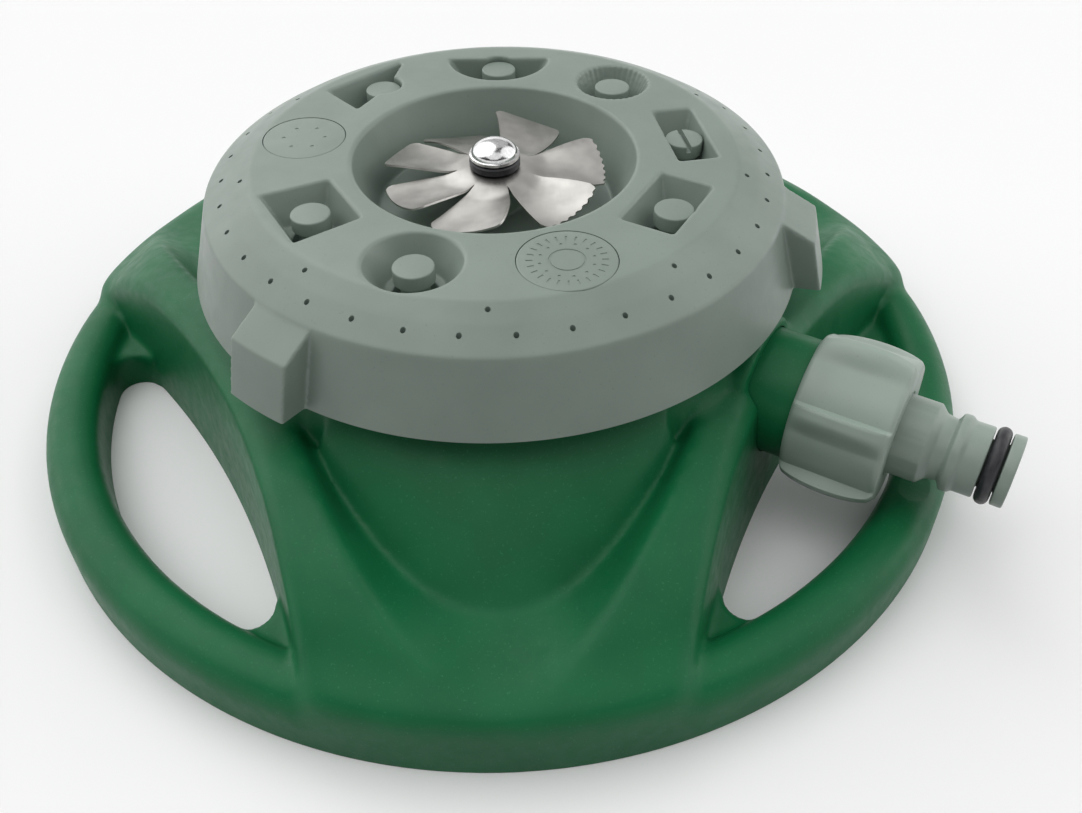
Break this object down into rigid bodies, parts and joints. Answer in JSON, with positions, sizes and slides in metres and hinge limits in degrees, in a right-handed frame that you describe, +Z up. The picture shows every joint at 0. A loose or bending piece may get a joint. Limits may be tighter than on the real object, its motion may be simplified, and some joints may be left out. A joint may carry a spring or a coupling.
{
  "type": "lawn sprinkler",
  "caption": "Low three-grip lawn sprinkler: a turning dial with a ring of spray patterns round a small bladed spinner, fed through a winged hose nut at the side.",
  "frame": {"origin": "on the dial's axis, in the ground plane that the base stands on", "axes": "+Z up along the dial's axis, -Y through the middle of the front panel, the inlet leaving 31 degrees clockwise of +X as seen from above"},
  "size_m": [0.217, 0.2172, 0.0671],
  "materials": {
    "green_plastic": "deep green moulded plastic, satin, fine sparkle texture",
    "grey_plastic": "cool grey moulded plastic, satin, nearly smooth",
    "black_rubber": "black nitrile rubber",
    "white_plastic": "natural acetal",
    "aluminium": "bare stamped sheet, brushed",
    "steel": "bright plated steel",
    "brass": "turned"
  },
  "bodies": {
    "base": {"base_housing": "green_plastic", "water_way": "green_plastic", "water_way_screw_1": "steel", "water_way_screw_2": "steel", "seal_spring": "steel", "detent_spring": "steel", "hose_tail": "grey_plastic", "tail_o_ring": "black_rubber", "nut_washer": "black_rubber", "slip_ring": "white_plastic"},
    "seal": {"port_seal": "black_rubber"},
    "click_stop": {"detent_plunger": "white_plastic"},
    "nut": {"tap_nut": "grey_plastic"},
    "dial": {"dial_shell": "grey_plastic", "plug_fan": "grey_plastic", "plug_cone": "grey_plastic", "plug_corner": "grey_plastic", "plug_slot": "grey_plastic", "plug_flute": "grey_plastic", "plug_half": "grey_plastic", "plug_wedge": "grey_plastic", "shower_insert": "grey_plastic", "mist_insert": "grey_plastic", "chamber_plate": "grey_plastic", "plate_screw_1": "steel", "plate_screw_2": "steel", "plate_screw_3": "steel", "pivot_washer": "steel", "pivot_screw": "steel", "rotor_bush": "brass", "rotor_washer": "black_rubber", "rotor_screw": "steel"},
    "spinner": {"rotor": "aluminium"}
  },
  "joints": [
    {"name": "dial_turn", "type": "hinge", "parent": "base", "child": "dial", "pos_m": [0, 0, 0.0472], "axis": [0, 0, 1], "continuous": true},
    {"name": "spinner_spin", "type": "hinge", "parent": "dial", "child": "spinner", "pos_m": [0, 0, 0.0598], "axis": [0, 0, 1], "continuous": true},
    {"name": "nut_turn", "type": "hinge", "parent": "base", "child": "nut", "pos_m": [0.07372, -0.04429, 0.0265], "axis": [0.8572, -0.515, 0], "continuous": true},
    {"name": "seal_slide", "type": "slide", "parent": "base", "child": "seal", "axis": [0, 0, 1], "range_m": [-0.001, 0], "stiffness_N_per_m": 400, "springref_m": 0.002, "deforming": ["seal_spring"]},
    {"name": "click_slide", "type": "slide", "parent": "base", "child": "click_stop", "axis": [0, 0, 1], "range_m": [-0.001, 0], "stiffness_N_per_m": 300, "springref_m": 0.002, "deforming": ["detent_spring"]}
  ]
}
